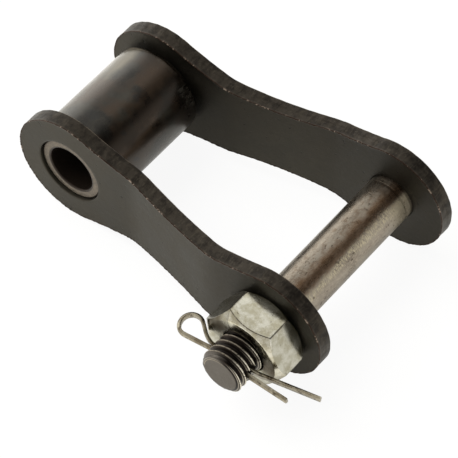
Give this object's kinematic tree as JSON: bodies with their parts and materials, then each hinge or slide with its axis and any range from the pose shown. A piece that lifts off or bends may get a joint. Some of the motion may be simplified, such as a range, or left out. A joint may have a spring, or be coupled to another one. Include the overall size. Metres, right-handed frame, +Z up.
{
  "type": "offset link",
  "caption": "Cranked roller-chain link with a roller turning on its bush at the narrow end and a bolted, split-pinned connecting pin across its wide end.",
  "frame": {"origin": "on the bush's axis, halfway between the two plates", "axes": "+X from the bush to the connecting pin, +Y along their axes from the nut's side to the far side, +Z up"},
  "size_m": [0.0656, 0.0453, 0.0198],
  "materials": {
    "plate_steel": "dark heat-treated sheet, satin",
    "bush_steel": "turned end, satin",
    "roller_steel": "heat-blued, semi-gloss",
    "pin_steel": "ground, lightly stained",
    "nut_zinc": "yellowish zinc plate",
    "wire_zinc": "dull zinc plate"
  },
  "bodies": {
    "link": {"near_plate": "plate_steel", "far_plate": "plate_steel", "bush": "bush_steel", "connecting_pin": "pin_steel", "hex_nut": "nut_zinc", "split_pin": "wire_zinc"},
    "roller": {"roller": "roller_steel"}
  },
  "joints": [
    {"name": "roller_spin", "type": "hinge", "parent": "link", "child": "roller", "pos_m": [0, 0, 0], "axis": [0, 1, 0], "continuous": true}
  ]
}
